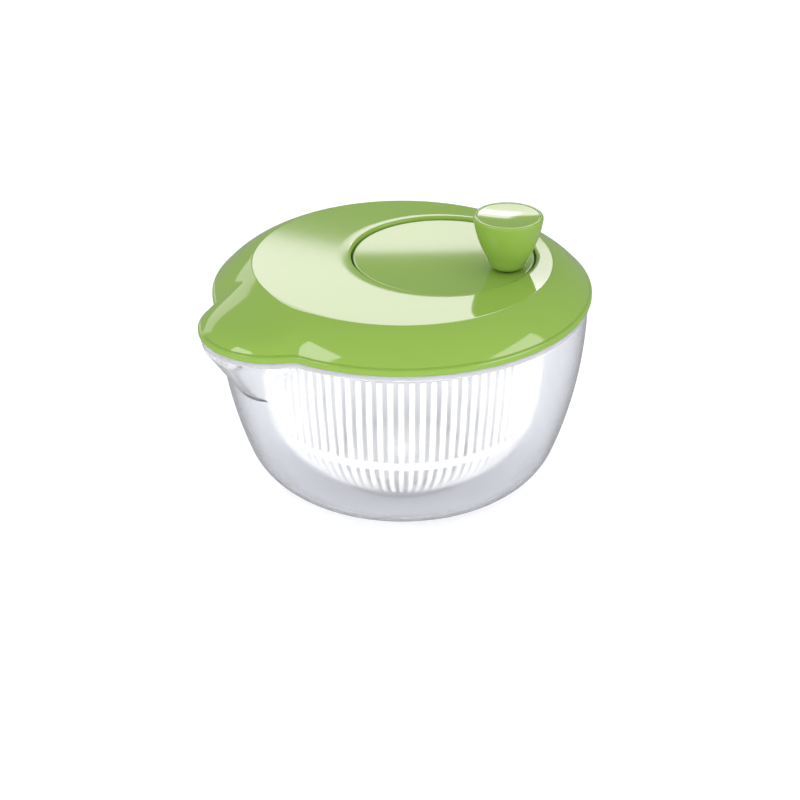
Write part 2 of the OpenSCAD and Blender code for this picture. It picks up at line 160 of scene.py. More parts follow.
COLUMNS = 256                 # steps round the large round pieces
BASKET_STEPS = 176            # two steps for each rib
WELD = 0.002 * MM             # points nearer than this are one point
STRAIGHT = math.radians(88)   # half of a corner that is too straight to round


# ---- drawing helpers ----

def deselect():
    """Leaves edit mode and selects nothing."""
    if bpy.context.mode != "OBJECT":
        bpy.ops.object.mode_set(mode="OBJECT")
    bpy.ops.object.select_all(action="DESELECT")


def finish_mesh(piece, smooth_angle=35):
    """Closes seams, turns every face outward and shades the piece smooth."""
    bpy.ops.object.mode_set(mode="EDIT")
    bpy.ops.mesh.select_all(action="SELECT")
    bpy.ops.mesh.remove_doubles(threshold=WELD)
    bpy.ops.mesh.normals_make_consistent(inside=False)
    bpy.ops.object.mode_set(mode="OBJECT")
    bpy.ops.object.shade_smooth_by_angle(angle=math.radians(smooth_angle))
    return piece


def loft(name, columns, rings, smooth_angle=35):
    """A skin through rings; each ring is a function of the angle round it that gives a point."""
    deselect()
    rows = len(rings) - 1
    bpy.ops.mesh.primitive_grid_add(x_subdivisions=columns, y_subdivisions=rows, size=1)
    piece = bpy.context.object
    piece.name = name
    for vertex in piece.data.vertices:
        column = round((vertex.co.x + 0.5) * columns) % columns
        row = round((vertex.co.y + 0.5) * rows)
        vertex.co = rings[row](2 * math.pi * column / columns)
    return finish_mesh(piece, smooth_angle)


def turned(name, outline, centre=(0, 0), steps=128, smooth_angle=35):
    """A piece turned on a lathe: outline is a list of (radius, height) points."""
    deselect()
    bpy.ops.mesh.primitive_plane_add(size=MM)
    piece = bpy.context.object
    piece.name = name
    bpy.ops.object.mode_set(mode="EDIT")
    bpy.ops.mesh.merge(type="CENTER")
    place = Vector((centre[0] + outline[0][0], centre[1], outline[0][1]))
    bpy.ops.transform.translate(value=place)
    for radius, height in outline[1:]:
        target = Vector((centre[0] + radius, centre[1], height))
        bpy.ops.mesh.extrude_region_move(TRANSFORM_OT_translate={"value": target - place})
        place = target
    bpy.ops.mesh.select_all(action="SELECT")
    bpy.ops.mesh.spin(
        steps=steps, angle=2 * math.pi, center=(centre[0], centre[1], 0), axis=(0, 0, 1))
    bpy.ops.object.mode_set(mode="OBJECT")
    return finish_mesh(piece, smooth_angle)


def arc(centre, radius, start, end, steps):
    """Points along an arc between two angles in radians."""
    angles = [start + (end - start) * i / steps for i in range(steps + 1)]
    return [(centre[0] + radius * math.cos(a), centre[1] + radius * math.sin(a)) for a in angles]


def rounded(corners, steps=4):
    """An open outline from (r, z, rounding) corners, each corner rounded by its own radius."""
    points = [corners[0][:2]]
    for before, corner, after in zip(corners, corners[1:], corners[2:]):
        here = Vector(corner[:2])
        a = (Vector(before[:2]) - here).normalized()
        b = (Vector(after[:2]) - here).normalized()
        half = a.angle(b) / 2
        if corner[2] == 0 or half > STRAIGHT:
            points.append(tuple(here))
            continue
        reach = corner[2] / math.tan(half)
        hub = here + (a + b).normalized() * corner[2] / math.sin(half)
        start = here + a * reach - hub
        end = here + b * reach - hub
        turn = start.angle_signed(end)
        for i in range(steps + 1):
            angle = -turn * i / steps
            c, s = math.cos(angle), math.sin(angle)
            point = hub + Vector((start.x * c - start.y * s, start.x * s + start.y * c))
            points.append(tuple(point))
    points.append(corners[-1][:2])
    return points


def join(name, pieces):
    """Makes several pieces one object."""
    deselect()
    for piece in pieces:
        piece.select_set(True)
    bpy.context.view_layer.objects.active = pieces[0]
    bpy.ops.object.join()
    pieces[0].name = name
    return pieces[0]


# ---- the pouring outline: a circle with a smaller circle at the spout ----

def pour_radius(angle, big, small, hollow):
    """Distance from the axis to the outline, along a ray at the given angle."""
    d = SPOUT_OFFSET
    if small <= 0 or d + small <= big:
        return big
    phi = abs((angle % (2 * math.pi)) - math.pi)
    a = big + hollow
    b = small + hollow
    x = (a * a - b * b + d * d) / (2 * d)
    if x >= a:
        return big
    y = math.sqrt(a * a - x * x)
    if phi >= math.atan2(y, x):
        return big
    touch = (d + (x - d) * small / b, y * small / b)
    if phi <= math.atan2(touch[1], touch[0]):
        return d * math.cos(phi) + math.sqrt(max(small * small - (d * math.sin(phi)) ** 2, 0))
    along = x * math.cos(phi) + y * math.sin(phi)
    return along - math.sqrt(max(hollow * hollow - (a * a - along * along), 0))


def circle_ring(centre, radius, z):
    """A level circle."""
    return lambda t: (centre[0] + radius * math.cos(t), centre[1] + radius * math.sin(t), z)


def pour_ring(inset, z):
    """The lid's pouring outline, set in by an inset."""
    def place(t):
        r = pour_radius(t, LID_R - inset, NOSE_R - inset, NOSE_HOLLOW + inset)
        return (r * math.cos(t), r * math.sin(t), z)
    return place


def between(ring_a, ring_b, share, z=None):
    """A ring part of the way from one ring to another."""
    def place(t):
        p = Vector(ring_a(t)).lerp(Vector(ring_b(t)), share)
        return (p.x, p.y, p.z if z is None else z)
    return place


# ---- lid ----

def shoulder_ring(top, foot, share, z):
    """A ring of the shoulder; over the nose it runs down straighter and turns in near the edge."""
    drop = PLATEAU_Z - STEP_Z
    def place(t):
        p = Vector(top(t)).lerp(Vector(foot(t)), share)
        reach = Vector(foot(t)[:2]).length - (LID_R - STEP_IN)
        nose = min(reach / NOSE_BLEND, 1)
        nose = nose * nose * (3 - 2 * nose)
        nose_z = PLATEAU_Z - drop * (NOSE_EVEN * share + (1 - NOSE_EVEN) * share ** NOSE_TURN)
        return (p.x, p.y, z + (nose_z - z) * nose)
    return place


def shoulder_arcs():
    """The shoulder's outer arc, falling to the lid's edge, and its inner arc, rising back."""
    drop = PLATEAU_Z - STEP_Z
    run = LID_R - STEP_IN - PLATEAU_R
    fall = math.atan2(drop, run)
    radius = math.hypot(run, drop) / (2 * math.sin(fall - SHOULDER_SLOPE))
    centre = (PLATEAU_R - radius * math.sin(SHOULDER_SLOPE),
              PLATEAU_Z - radius * math.cos(SHOULDER_SLOPE))
    first = math.pi / 2 - SHOULDER_SLOPE
    last = first - 2 * (fall - SHOULDER_SLOPE)
    return arc(centre, radius, first, last, 20), arc(centre, radius - LID_WALL, last, first, 10)


def lid_edge():
    """Groove, bead and skirt, as insets and heights."""
    skirt_back = SKIRT_IN + SKIRT_T
    return rounded([
        (STEP_IN, STEP_Z, 0),
        (GROOVE_IN, GROOVE_Z, 0.3 * MM),
        (BEAD_IN, BEAD_TOP, 0.6 * MM),
        (0, BEAD_SIDE_TOP, 1.2 * MM),
        (0, BEAD_SIDE_LOW, 1.4 * MM),
        (BEAD_FOOT_IN, RIM_Z, 0.7 * MM),
        (SKIRT_IN, RIM_Z, 0.2 * MM),
        (SKIRT_IN, SKIRT_LOW, 0.6 * MM),
        (skirt_back, SKIRT_LOW, 0.6 * MM),
        (skirt_back, STEP_Z, 0)], steps=3)


def lid_shell():
    """One closed skin: well, flat top, shoulder, edge bead, skirt and the underside."""
    outer_arc, inner_arc = shoulder_arcs()
    run = LID_R - STEP_IN - PLATEAU_R
    ceiling = PLATEAU_Z - LID_WALL
    plateau = circle_ring((0, 0), PLATEAU_R, PLATEAU_Z)
    foot = pour_ring(STEP_IN, STEP_Z)

    rings = [circle_ring(DISC_CENTRE, WELL_R, WELL_LOW),
             circle_ring(DISC_CENTRE, WELL_R, PLATEAU_Z - WELL_LIP)]
    lip_centre = (WELL_R + WELL_LIP, PLATEAU_Z - WELL_LIP)
    for r, z in arc(lip_centre, WELL_LIP, math.pi, math.pi / 2, 8):
        rings.append(circle_ring(DISC_CENTRE, r, z))
    lip_top = rings[-1]
    for share in (0.12, 0.25, 0.4, 0.55, 0.7, 0.85, 0.96, 0.985):
        rings.append(between(lip_top, plateau, share))
    for r, z in outer_arc:
        rings.append(shoulder_ring(plateau, foot, (r - PLATEAU_R) / run, z))
    for inset, z in lid_edge()[1:]:
        rings.append(pour_ring(inset, z))

    inner_foot = pour_ring(SKIRT_IN + SKIRT_T, STEP_Z)
    inner_top = circle_ring((0, 0), PLATEAU_R - LID_WALL, ceiling)
    top_r = inner_arc[-1][0]
    span = inner_arc[0][0] - top_r
    for r, z in inner_arc[1:]:
        rings.append(between(inner_top, inner_foot, (r - top_r) / span, z))
    under = circle_ring(DISC_CENTRE, WELL_R + LID_WALL, ceiling)
    rings.append(between(inner_top, under, 0.5))
    rings.append(under)
    rings.append(circle_ring(DISC_CENTRE, WELL_R + LID_WALL, WELL_LOW))
    rings.append(rings[0])
    return loft("lid_top", COLUMNS, rings, 60)


# ---- crank disc and knob ----

def crank_disc():
    """A shallow dish with a hub under it, and the stub that the knob turns on."""
    low = DISC_Z - DISC_DISH
    under = low - DISC_T
    dish_r = (DISC_R ** 2 + DISC_DISH ** 2) / (2 * DISC_DISH)
    rim_angle = math.asin((DISC_R - DISC_LAND) / dish_r)
    dish = arc((0, low + dish_r), dish_r, -math.pi / 2, -math.pi / 2 + rim_angle, 16)
    edge = rounded([
        dish[-1] + (0,),
        (DISC_R, DISC_Z, 1.0 * MM),
        (DISC_R, under, 0.4 * MM),
        (HUB_R, under, 0.5 * MM),
        (HUB_R, HUB_Z, 0.3 * MM),
        (HUB_BORE_R, HUB_Z, 0)])
    bore_end = [(HUB_BORE_R, low - MM), (0, low - MM)]
    plate = turned("disc_plate", dish + edge[1:] + bore_end, DISC_CENTRE, 192)
    stub_outline = rounded([
        (0, low, 0), (STUB_R, low, 0), (STUB_R, STUB_TOP, 0.8 * MM), (0, STUB_TOP, 0)])
    stub = turned("disc_stub", stub_outline, KNOB_CENTRE, 48)
    return join("crank_dish", [plate, stub])


def knob_body():
    """A swelling goblet: small round foot, convex side, soft rim round the inset cap."""
    base = DISC_Z - DISC_DISH + DISC_DISH * (KNOB_ARM / DISC_R) ** 2 + KNOB_GAP
    top = base + KNOB_H
    foot = KNOB_WAIST_R - KNOB_NECK_R
    lean = math.atan2(KNOB_R - KNOB_WAIST_R, KNOB_H - foot)
    side_r = math.hypot(KNOB_R - KNOB_WAIST_R, KNOB_H - foot) / (2 * math.sin(KNOB_SWELL))
    centre = (KNOB_R - side_r * math.cos(KNOB_SWELL - lean), top - side_r * math.sin(KNOB_SWELL - lean))
    foot_arc = arc((KNOB_NECK_R, base + foot), foot, -math.pi / 2, -KNOB_FOOT_END, 10)
    side = arc(centre, side_r, KNOB_SIDE_TRIM - KNOB_SWELL - lean, KNOB_SWELL - lean - KNOB_SIDE_TRIM, 16)
    ledge = top - KNOB_CAP_T
    rim = rounded([
        side[-1] + (0,),
        (KNOB_R, top, 1.6 * MM),
        (KNOB_R - KNOB_RIM, top, 0.4 * MM),
        (KNOB_R - KNOB_RIM, ledge, 0),
        (KNOB_HOLLOW_R, ledge, 0)])
    hollow_low = top - KNOB_HOLLOW
    hollow = [(KNOB_HOLLOW_R, hollow_low), (KNOB_BORE_R, hollow_low), (KNOB_BORE_R, base)]
    outline = [(KNOB_BORE_R, base)] + foot_arc + side + rim[1:] + hollow
    return turned("knob_grip", outline, KNOB_CENTRE, 96, 50)


def knob_cap():
    """A shallow dished lid pressed into the knob's top."""
    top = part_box("knob_cap")[1][2]
    radius = KNOB_R - KNOB_RIM - CAP_FIT
    dish_r = (radius ** 2 + CAP_DISH ** 2) / (2 * CAP_DISH)
    low = -math.pi / 2
    end = low + math.asin(radius * CAP_FACE / dish_r)
    face = arc((0, top - CAP_DISH + dish_r), dish_r, low, end, 10)
    edge = rounded([
        face[-1] + (0,),
        (radius, top, 0.3 * MM),
        (radius, top - KNOB_CAP_T, 0.2 * MM),
        (0, top - KNOB_CAP_T, 0)])
    return turned("knob_top", face + edge[1:], KNOB_CENTRE, 96)


# ---- bowl ----

def bowl_outline(inset):
    """Radius and height up the bowl's wall, from the foot to the rim."""
    arc_r = (BOWL_TOP_R - BASE_R - CORNER_R * math.cos(WALL_LEAN)) / (1 - math.cos(WALL_LEAN))
    arc_z = CORNER_R + (arc_r - CORNER_R) * math.sin(WALL_LEAN)
    end = math.asin((RIM_Z - arc_z) / arc_r)
    corner = arc((BASE_R, CORNER_R), CORNER_R - inset, -math.pi / 2, -WALL_LEAN, 24)
    wall = arc((BOWL_TOP_R - arc_r, arc_z), arc_r - inset, -WALL_LEAN, end, 48)
    return corner + wall[1:]


def bowl_radius(z, inset):
    """Radius of the bowl's wall at a height, by straight steps along its outline."""
    points = bowl_outline(inset)
    for (r0, z0), (r1, z1) in zip(points, points[1:]):
        if z <= z1:
            return r0 + (r1 - r0) * (z - z0) / (z1 - z0)
    return points[-1][0]


def bowl_ring(z, inset, shrink=0):
    """A level slice of the bowl, with the spout's cone where it stands out."""
    nose = SPOUT_TOP_R - inset - SPOUT_TAPER * max(RIM_Z - SPOUT_STRAIGHT - z, 0) - shrink
    floor_z = RIM_Z - SPOUT_DEPTH + inset
    if z < floor_z - WELD:
        nose = 0
    radius = bowl_radius(z, inset)
    def place(t):
        r = pour_radius(t, radius, nose, SPOUT_CORNER + inset)
        return (r * math.cos(t), r * math.sin(t), z)
    return place


def wall_rings(inset, top):
    """Rings up one side of the wall, with the spout's rounded floor between them."""
    floor_z = RIM_Z - SPOUT_DEPTH + inset
    floor_rise = SPOUT_ROUND / 2
    floor_steps = 6
    levels = [z for r, z in bowl_outline(inset)]
    rings = [bowl_ring(z, inset) for z in levels if z < floor_z - MM]
    for i in range(floor_steps + 1):
        turn = math.pi / 2 * i / floor_steps
        rise = floor_rise * (1 - math.cos(turn))
        rings.append(bowl_ring(floor_z + rise, inset, SPOUT_ROUND * (1 - math.sin(turn))))
    rings += [bowl_ring(z, inset) for z in levels if floor_z + floor_rise + MM / 2 < z < top]
    return rings


def bowl_foot():
    """Radius and height under the bowl, out to the wall, with the ring groove it stands round."""
    slope = FOOT_GROOVE
    return [
        (0, 0),
        (30 * MM, 0),
        (FOOT_RING_IN_R - EDGE_LOOP, 0),
        (FOOT_RING_IN_R, 0),
        (FOOT_RING_IN_R + slope, FOOT_GROOVE),
        (FOOT_RING_IN_R + slope + EDGE_LOOP, FOOT_GROOVE),
        (FOOT_RING_OUT_R - slope - EDGE_LOOP, FOOT_GROOVE),
        (FOOT_RING_OUT_R - slope, FOOT_GROOVE),
        (FOOT_RING_OUT_R, 0),
        (FOOT_RING_OUT_R + EDGE_LOOP, 0)]


def bowl_boss():
    """Radius and height over the bowl's floor, in from the wall and over the boss round the pin."""
    floor_z = BOWL_WALL
    return [
        (40 * MM, floor_z),
        (BOSS_FOOT_R + MM, floor_z),
        (BOSS_FOOT_R + EDGE_LOOP, floor_z + 0.1 * MM),
        (BOSS_FOOT_R, floor_z + 0.3 * MM),
        (BOSS_R + 0.3 * MM, BOSS_TOP - 0.2 * MM),
        (BOSS_R, BOSS_TOP),
        (BOSS_R - EDGE_LOOP, BOSS_TOP),
        (PIN_HOLE_R + 0.45 * MM, BOSS_TOP),
        (PIN_HOLE_R, BOSS_TOP - EDGE_LOOP),
        (PIN_HOLE_R, floor_z),
        (PIN_HOLE_R - 0.15 * MM, floor_z),
        (0, floor_z)]


def bowl():
    """One closed skin: foot, outside, rim flange, inside, floor and boss."""
    rings = [circle_ring((0, 0), r, z) for r, z in bowl_foot()]
    under = RIM_Z - FLANGE_H
    top = RIM_Z - 0.05 * MM
    wall_in = LID_R - BOWL_TOP_R
    rings += wall_rings(0, under - 0.5 * MM)
    flange = rounded([
        (wall_in, under, 0),
        (FLANGE_IN, under, 0.6 * MM),
        (FLANGE_IN, top, 0.9 * MM),
        (wall_in + BOWL_WALL, top, 0.5 * MM),
        (wall_in + BOWL_WALL, under, 0)], steps=3)
    for inset, z in flange:
        rings.append(pour_ring(inset, z))
    rings += reversed(wall_rings(BOWL_WALL, under - 0.5 * MM))
    rings += [circle_ring((0, 0), r, z) for r, z in bowl_boss()]
    return loft("bowl_clear", COLUMNS, rings, 50)


def haze_flange(piece, material):
    """Gives the thick rim flange its own hazy finish."""
    piece.data.materials.append(material)
    for face in piece.data.polygons:
        if face.center.z > RIM_Z - FLANGE_H + HAZE_FROM:
            face.material_index = 1


# ---- basket ----

def basket_outline(inset):
    """Radius and height up the basket's wall, from its floor to its rim."""
    lean = BASKET_LEAN
    arc_r = (BASKET_R - BASKET_BASE_R - BASKET_CORNER_R * math.cos(lean)) / (1 - math.cos(lean))
    corner_z = BASKET_Z + BASKET_CORNER_R
    arc_z = corner_z + (arc_r - BASKET_CORNER_R) * math.sin(lean)
    end = math.asin((BASKET_TOP - arc_z) / arc_r)
    corner = arc((BASKET_BASE_R, corner_z), BASKET_CORNER_R - inset, -math.pi / 2, -lean, 14)
    wall = arc((BASKET_R - arc_r, arc_z), arc_r - inset, -lean, end, 10)
    return corner + wall[1:]


def rib_line(inset):
    """The part of the outline that a rib follows, a little into the floor and the rim."""
    from_r = SLOT_IN_R - 3 * MM
    to_z = SLOT_TOP + 4 * MM
    return [(r, z) for r, z in basket_outline(inset) if from_r < r and z < to_z]


def basket_rib():
    """One rib: a bar that follows the wall and tapers toward the middle of the floor."""
    half = RIB_SHARE * math.pi / RIBS
    outer, inner = rib_line(0), rib_line(BASKET_WALL)
    count = min(len(outer), len(inner))
    outer, inner = outer[-count:], inner[-count:]
    sides = ((outer, -half), (outer, half), (inner, half), (inner, -half))
    deselect()
    bpy.ops.mesh.primitive_grid_add(x_subdivisions=len(sides), y_subdivisions=count - 1, size=1)
    rib = bpy.context.object
    for vertex in rib.data.vertices:
        side = round((vertex.co.x + 0.5) * len(sides)) % len(sides)
        row = round((vertex.co.y + 0.5) * (count - 1))
        line, turn = sides[side]
        r, z = line[row]
        vertex.co = (r * math.cos(turn), r * math.sin(turn), z)
    finish_mesh(rib, 30)
    bpy.ops.object.mode_set(mode="EDIT")
    bpy.ops.mesh.select_mode(type="EDGE")
    bpy.ops.mesh.select_all(action="DESELECT")
    bpy.ops.mesh.select_non_manifold()
    bpy.ops.mesh.fill_holes(sides=len(sides))
    bpy.ops.mesh.select_mode(type="VERT")
    bpy.ops.object.mode_set(mode="OBJECT")
    return finish_mesh(rib, 30)


def all_ribs():
    """The rib copied round the basket, each copy with its own mesh."""
    rib = basket_rib()
    ribs = [rib]
    for i in range(1, RIBS):
        deselect()
        rib.select_set(True)
        bpy.context.view_layer.objects.active = rib
        bpy.ops.object.duplicate()
        copy = bpy.context.object
        turn = 2 * math.pi * i / RIBS
        c, s = math.cos(turn), math.sin(turn)
        for vertex in copy.data.vertices:
            x, y, z = vertex.co
            vertex.co = (x * c - y * s, x * s + y * c, z)
        ribs.append(copy)
    return join("basket_ribs", ribs)


def basket_hub():
    """The closed middle of the floor, with the raised hub that takes the bearing bush."""
    floor_in = BASKET_Z + BASKET_WALL
    edge_r = SLOT_IN_R + 0.6 * MM
    outline = rounded([
        (BUSH_HOLE_R, BASKET_Z, 0),
        (BASKET_BASE_R, BASKET_Z, 0),
        (edge_r, BASKET_Z + 0.6 * MM, 0.3 * MM),
        (edge_r, floor_in + 0.7 * MM, 0.3 * MM),
        (BASKET_BASE_R, floor_in, 0),
        (BASKET_HUB_FOOT_R, floor_in, 2 * MM),
        (BASKET_HUB_R, BASKET_HUB_TOP, 1 * MM),
        (0, BASKET_HUB_TOP, 0)], 3)
    hole = [(0, BUSH_HOLE_TOP), (BUSH_HOLE_R, BUSH_HOLE_TOP), (BUSH_HOLE_R, BASKET_Z)]
    return turned("basket_floor", outline + hole)


def basket_band():
    """The stiffening band round the ribs, following their slope."""
    top = BAND_Z + BAND_H
    near = [r for r, z in basket_outline(0) if BAND_Z - 4 * MM < z < top + 4 * MM]
    band_r = near[len(near) // 2]
    outline = rounded([
        (band_r - 2.4 * MM, BAND_Z, 0),
        (band_r + 0.2 * MM, BAND_Z, 0.8 * MM),
        (band_r + 1.6 * MM, top, 0.8 * MM),
        (band_r - 1.2 * MM, top, 0.5 * MM),
        (band_r - 2.4 * MM, BAND_Z, 0)])
    return turned("basket_band", outline, steps=BASKET_STEPS)


def basket_rim():
    """The closed ring over the slots, with the lip that it is lifted by."""
    inner_r = BASKET_R - BASKET_WALL
    lip_r = BASKET_R + BASKET_LIP
    lip_z = BASKET_TOP - BASKET_LIP_T
    outline = rounded([
        (inner_r, SLOT_TOP, 0),
        (BASKET_R, SLOT_TOP, 0.5 * MM),
        (BASKET_R, lip_z, 1 * MM),
        (lip_r, lip_z, 1 * MM),
        (lip_r, BASKET_TOP, 1 * MM),
        (inner_r, BASKET_TOP, 0.8 * MM),
        (inner_r, SLOT_TOP, 0)])
    return turned("basket_rim", outline, steps=BASKET_STEPS)


def basket():
    """The whole basket: ribs, hub, band and rim."""
    return join("basket_cage", [all_ribs(), basket_hub(), basket_band(), basket_rim()])


# ---- materials ----

FLOW_MARK = 60 * MM           # length of the faint streaks that plastic leaves as it fills a mould
SKIN_WAVE = 9 * MM            # length of the slight waves in a polished moulded skin
SKIN_DEPTH = 0.05 * MM
SKIN_EVEN = (0.85, 1.2)       # how far the roughness wanders over the skin, as shares of itself
TURNING_MARK = 2 * MM         # real marks are finer; drawn coarse enough to show


def srgb(code):
    """An sRGB hex colour as linear RGBA."""
    values = [int(code[i:i + 2], 16) / 255 for i in (0, 2, 4)]
    linear = [v / 12.92 if v <= 0.04045 else ((v + 0.055) / 1.055) ** 2.4 for v in values]
    return (*linear, 1.0)


def add(tree, kind, settings=None, links=None):
    """Adds a node; settings go to its sockets or its own fields, links are socket to (node, output)."""
    node = tree.nodes.new(kind)
    for key, value in (settings or {}).items():
        if isinstance(key, str) and hasattr(node, key):
            setattr(node, key, value)
        else:
            node.inputs[key].default_value = value
    for key, (source, output) in (links or {}).items():
        tree.links.new(source.outputs[output], node.inputs[key])
    return node


def base_material(name, **sockets):
    """A principled surface; returns the material, its tree and the surface node."""
    material = bpy.data.materials.new(name)
    material.use_nodes = True
    tree = material.node_tree
    surface = tree.nodes["Principled BSDF"]
    for key, value in sockets.items():
        surface.inputs[key.replace("_", " ")].default_value = value
    return material, tree, surface


def moulded(name, colour, deep, roughness, ripple, **sockets):
    """Injection-moulded plastic: even colour with faint flow marks and a barely wavy, polished skin."""
    material, tree, surface = base_material(name, **sockets)
    place = add(tree, "ShaderNodeTexCoord")
    flow = add(tree, "ShaderNodeTexNoise", {"Scale": 1 / FLOW_MARK, "Detail": 2.0},
               {"Vector": (place, "Object")})
    tint = add(tree, "ShaderNodeMix", {"data_type": "RGBA"}, {"Factor": (flow, "Fac")})
    tint.inputs[6].default_value = srgb(colour)
    tint.inputs[7].default_value = srgb(deep)
    tree.links.new(tint.outputs[2], surface.inputs["Base Color"])
    fine = add(tree, "ShaderNodeTexNoise", {"Scale": 1 / SKIN_WAVE, "Detail": 1.0},
               {"Vector": (place, "Object")})
    low, high = SKIN_EVEN
    gloss = add(tree, "ShaderNodeMapRange", {"To Min": roughness * low, "To Max": roughness * high},
                {"Value": (fine, "Fac")})
    tree.links.new(gloss.outputs["Result"], surface.inputs["Roughness"])
    bump = add(tree, "ShaderNodeBump", {"Strength": ripple, "Distance": SKIN_DEPTH},
               {"Height": (fine, "Fac")})
    tree.links.new(bump.outputs["Normal"], surface.inputs["Normal"])
    return material


def green_abs():
    # ABS moulded in a polished tool: saturated spring green with mirror-like highlights.
    return moulded("green injection-moulded ABS", "8FB24E", "8AAD49", 0.07, 0.05, IOR=1.54)


def clear_san():
    # SAN, a clear hard plastic: nearly colourless and slightly soft through one wall, cool grey edge-on.
    material = moulded("clear injection-moulded SAN", "FCFCFD", "FAFBFC", 0.1, 0.05,
                       IOR=1.5, Transmission_Weight=1.0)
    tree = material.node_tree
    depth = add(tree, "ShaderNodeVolumeAbsorption", {"Color": srgb("A0A8C8"), "Density": 46.0})
    tree.links.new(depth.outputs["Volume"], tree.nodes["Material Output"].inputs["Volume"])
    return material


def hazy_san():
    # The same SAN where it is thick, at the rim flange: hazy, so that it looks pale grey and soft.
    return moulded("hazy thick SAN", "D6D6DC", "D1D1D8", 0.22, 0.1,
                   IOR=1.5, Transmission_Weight=0.5)


def white_pp():
    # Natural polypropylene: milky, lets some light through, soft shine.
    return moulded("milky injection-moulded polypropylene", "E6E5E2", "E1E0DC", 0.3, 0.1,
                   IOR=1.49, Subsurface_Weight=0.85, Subsurface_Radius=(1.0, 1.0, 1.0),
                   Subsurface_Scale=4 * MM)


def white_abs():
    # Opaque white ABS of the parts inside the lid.
    return moulded("white injection-moulded ABS", "EFEFEE", "E6E6E5", 0.25, 0.1, IOR=1.54)


def bearing_pom():
    # POM, a slippery bearing plastic: slightly yellow white, satin.
    return moulded("machined POM", "E9E5D8", "E2DDCE", 0.38, 0.15, IOR=1.48)


def turned_steel():
    # Turned stainless steel: bright, with fine rings left by the cutting tool.
    material, tree, surface = base_material(
        "turned stainless steel", Metallic=1.0, Base_Color=srgb("C9CACC"))
    place = add(tree, "ShaderNodeTexCoord")
    wave = {"wave_type": "BANDS", "bands_direction": "Z", "Scale": 1 / TURNING_MARK, "Distortion": 1.0}
    rings = add(tree, "ShaderNodeTexWave", wave, {"Vector": (place, "Object")})
    rough = add(tree, "ShaderNodeMapRange", {"To Min": 0.22, "To Max": 0.36},
                {"Value": (rings, "Fac")})
    tree.links.new(rough.outputs["Result"], surface.inputs["Roughness"])
    return material


def wear(piece, material):
    """Gives a piece one material all over."""
    piece.data.materials.clear()
    piece.data.materials.append(material)


# ---- the pieces, their bodies and their finishes ----

green, clear, milky = green_abs(), clear_san(), white_pp()
white, pom, steel = white_abs(), bearing_pom(), turned_steel()

made = [
    (lid_shell(), "lid", "lid_shell", "green_plastic", green),
    (crank_disc(), "crank", "crank_disc", "green_plastic", green),
    (knob_body(), "knob", "knob_body", "green_plastic", green),
    (knob_cap(), "knob", "knob_cap", "green_plastic", green),
    (bowl(), "bowl", "bowl", "clear_plastic", clear),
    (basket(), "basket", "basket", "white_plastic", milky),
]
for piece, body, node, slot, material in made:
    wear(piece, material)
    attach(piece, body)
    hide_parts(node)

haze_flange(bpy.data.objects["bowl_clear"], hazy_san())

finishes = {
    white: ["gear_cover", "spin_plate"],
    pom: ["basket_bush", "crank_bushing", "upper_bushing", "lower_bushing", "ring_gear",
          "drive_pinion"],
    steel: ["bowl_pin", "gear_cover_screws", "ring_gear_screws", "crank_axle", "axle_washer",
            "axle_clip", "knob_spindle", "knob_washer", "knob_screw", "drive_shaft",
            "plate_washer", "plate_screw"],
}
for material, names in finishes.items():
    for name in names:
        wear(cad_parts[name], material)


# ---- floor, light and camera ----

FLOOR_SIZE = 12
FLOOR_GAP = 0.2 * MM          # the table lies this far under the foot
LID_HEIGHT = 0.16             # the lights face this point on the object's axis
AZIMUTH = math.radians(-36.5)
ELEVATION = math.radians(27.56)
DISTANCE = 1.3
TARGET = Vector((0, 0, 0.080))
LENS = 83.3                   # the camera's lens and sensor, in its own millimetres
SENSOR = 36
SHIFT = (-0.0027, -0.046)
SOFT_ROSE = "FFEEFF"          # the mirrored lights' colour: it keeps highlights on green from yellowing
MIRRORED_WALLS = 0.35         # how bright the room looks in a glossy skin
BENT_WALLS = 0.6              # and through the clear bowl


def floor():
    """A plain pale table that glows a little, so that its shadow stays light."""
    deselect()
    bpy.ops.mesh.primitive_plane_add(size=FLOOR_SIZE)
    ground = bpy.context.object
    ground.name = "floor"
    ground.location.z = -FLOOR_GAP
    paper = base_material("pale paper", Base_Color=srgb("CFCFCF"), Roughness=0.9, Specular_IOR_Level=0.1,
                          Emission_Color=srgb("FFFFFF"), Emission_Strength=0.5)[0]
    wear(ground, paper)
    ground.visible_glossy = False


def in_view(right, away, up):
    """A place given from where the camera stands: to its right, away from it, and up."""
    c, s = math.cos(AZIMUTH), math.sin(AZIMUTH)
    return (right * c - away * s, right * s + away * c, up)


def camera():
    """The camera, looking at the middle of the object."""
    data = bpy.data.cameras.new("camera")
    data.lens = LENS
    data.sensor_width = SENSOR
    data.shift_x, data.shift_y = SHIFT
    cam = bpy.data.objects.new("camera", data)
    bpy.context.collection.objects.link(cam)
    back = Vector(in_view(0, -math.cos(ELEVATION), math.sin(ELEVATION)))
    cam.location = TARGET + back * DISTANCE
    cam.rotation_euler = (-back).to_track_quat("-Z", "Y").to_euler()
    bpy.context.scene.camera = cam


